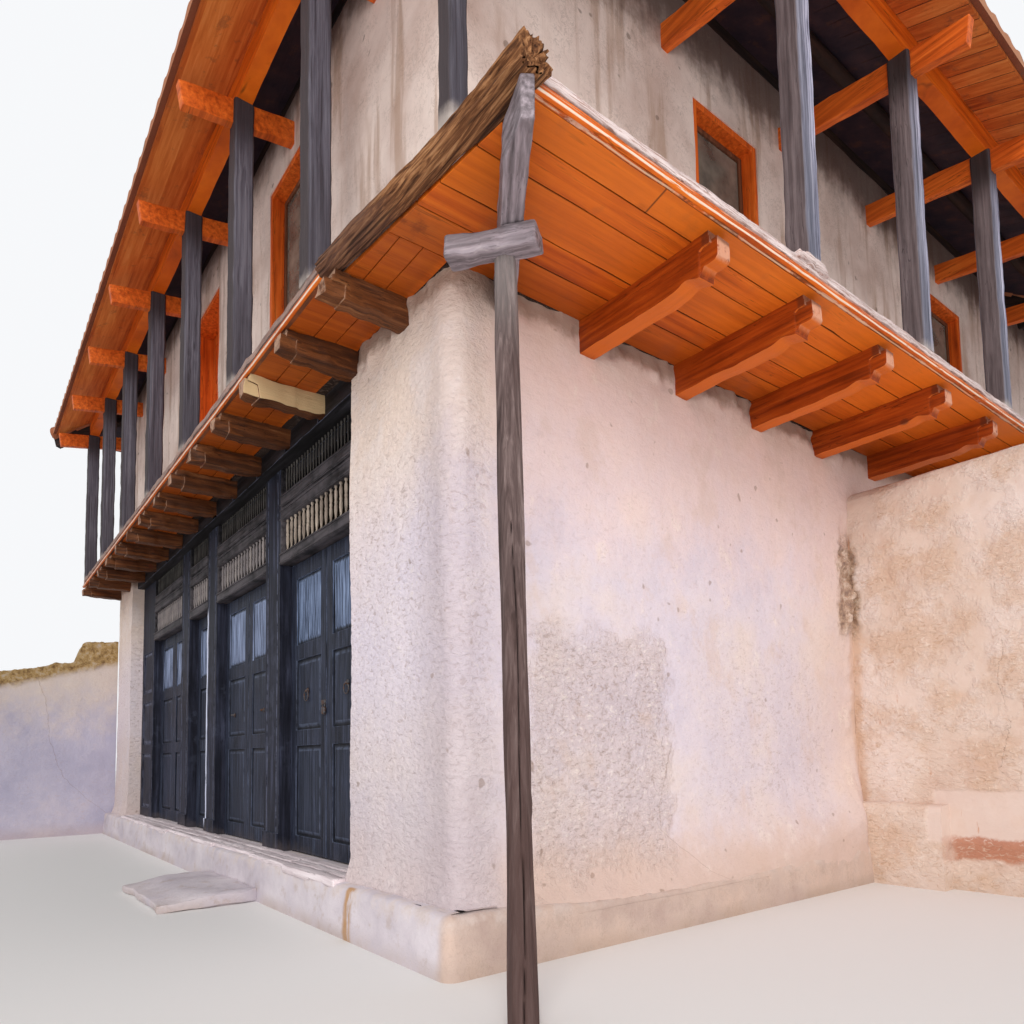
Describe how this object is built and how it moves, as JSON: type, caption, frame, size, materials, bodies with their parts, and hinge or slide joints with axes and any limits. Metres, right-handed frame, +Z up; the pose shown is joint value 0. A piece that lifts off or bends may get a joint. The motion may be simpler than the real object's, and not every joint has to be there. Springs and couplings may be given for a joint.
{
  "type": "adobe house",
  "caption": "Adobe house with an upper storey, a timber gallery along its front and right side, hinged panelled doors under spindle transoms, a hipped tile roof and stubs of its yard walls.",
  "frame": {"origin": "middle of the whole part's footprint, on the ground", "axes": "+Z up, -Y out of the front wall with the doors, +X out of the right wall with the deep gallery"},
  "size_m": [11.04, 10.49, 7.4146],
  "materials": {
    "plaster": "matte earth plaster",
    "lime": "matte lime render",
    "dark_wood": "worn dark paint",
    "oiled_wood": "oiled",
    "grey_wood": "weathered",
    "old_wood": "weathered",
    "pale_wood": "worn pale paint",
    "roof_tile": "fired clay",
    "glass": "clear, dusty"
  },
  "bodies": {
    "house": {"plinth": "lime", "corner_pier": "plaster", "left_pier": "plaster", "right_wall": "plaster", "back_wall": "plaster", "left_wall": "plaster", "upper_front_wall": "plaster", "upper_right_wall": "plaster", "upper_back_wall": "plaster", "upper_left_wall": "plaster", "upper_floor": "plaster", "door_posts": "dark_wood", "door_beam": "dark_wood", "transoms": "dark_wood", "side_panel": "dark_wood", "right_joists": "oiled_wood", "front_joists": "oiled_wood", "gallery_boards": "oiled_wood", "gallery_floor": "grey_wood", "gallery_fascia": "oiled_wood", "edge_battens": "pale_wood", "right_gallery_posts": "old_wood", "front_gallery_posts": "old_wood", "tie_beams": "oiled_wood", "edge_purlins": "oiled_wood", "corner_joist": "grey_wood", "corner_bolster": "grey_wood", "prop_pole": "old_wood", "corner_log": "old_wood", "roof_frame": "old_wood", "roof_poles": "oiled_wood", "roof_boards": "oiled_wood", "roof_tiles": "roof_tile", "ridge_tiles": "roof_tile", "window_frames": "oiled_wood", "window_sashes": "oiled_wood", "window_glass": "glass", "upper_door": "oiled_wood", "yard_wall_right": "plaster", "yard_wall_left": "plaster", "door_step": "lime"},
    "door_1_right_leaf": {"door_1_right": "dark_wood"},
    "door_1_left_leaf": {"door_1_left": "dark_wood"},
    "door_2_right_leaf": {"door_2_right": "dark_wood"},
    "door_2_left_leaf": {"door_2_left": "dark_wood"},
    "door_3_leaf": {"door_3": "dark_wood"},
    "door_4_right_leaf": {"door_4_right": "dark_wood"},
    "door_4_left_leaf": {"door_4_left": "dark_wood"}
  },
  "joints": [
    {"name": "door_1_right_hinge", "type": "hinge", "parent": "house", "child": "door_1_right_leaf", "pos_m": [1.94, -2.998, 0.278], "axis": [0, 0, -1], "range_deg": [0, 90]},
    {"name": "door_1_left_hinge", "type": "hinge", "parent": "house", "child": "door_1_left_leaf", "pos_m": [0.676, -2.998, 0.278], "axis": [0, 0, 1], "range_deg": [0, 90]},
    {"name": "door_2_right_hinge", "type": "hinge", "parent": "house", "child": "door_2_right_leaf", "pos_m": [0.316, -2.998, 0.278], "axis": [0, 0, -1], "range_deg": [0, 90]},
    {"name": "door_2_left_hinge", "type": "hinge", "parent": "house", "child": "door_2_left_leaf", "pos_m": [-0.948, -2.998, 0.278], "axis": [0, 0, 1], "range_deg": [0, 90]},
    {"name": "door_3_hinge", "type": "hinge", "parent": "house", "child": "door_3_leaf", "pos_m": [-1.914, -2.998, 0.278], "axis": [0, 0, 1], "range_deg": [0, 90]},
    {"name": "door_4_right_hinge", "type": "hinge", "parent": "house", "child": "door_4_right_leaf", "pos_m": [-2.274, -2.998, 0.278], "axis": [0, 0, -1], "range_deg": [0, 90]},
    {"name": "door_4_left_hinge", "type": "hinge", "parent": "house", "child": "door_4_left_leaf", "pos_m": [-3.538, -2.998, 0.278], "axis": [0, 0, 1], "range_deg": [0, 90]}
  ]
}
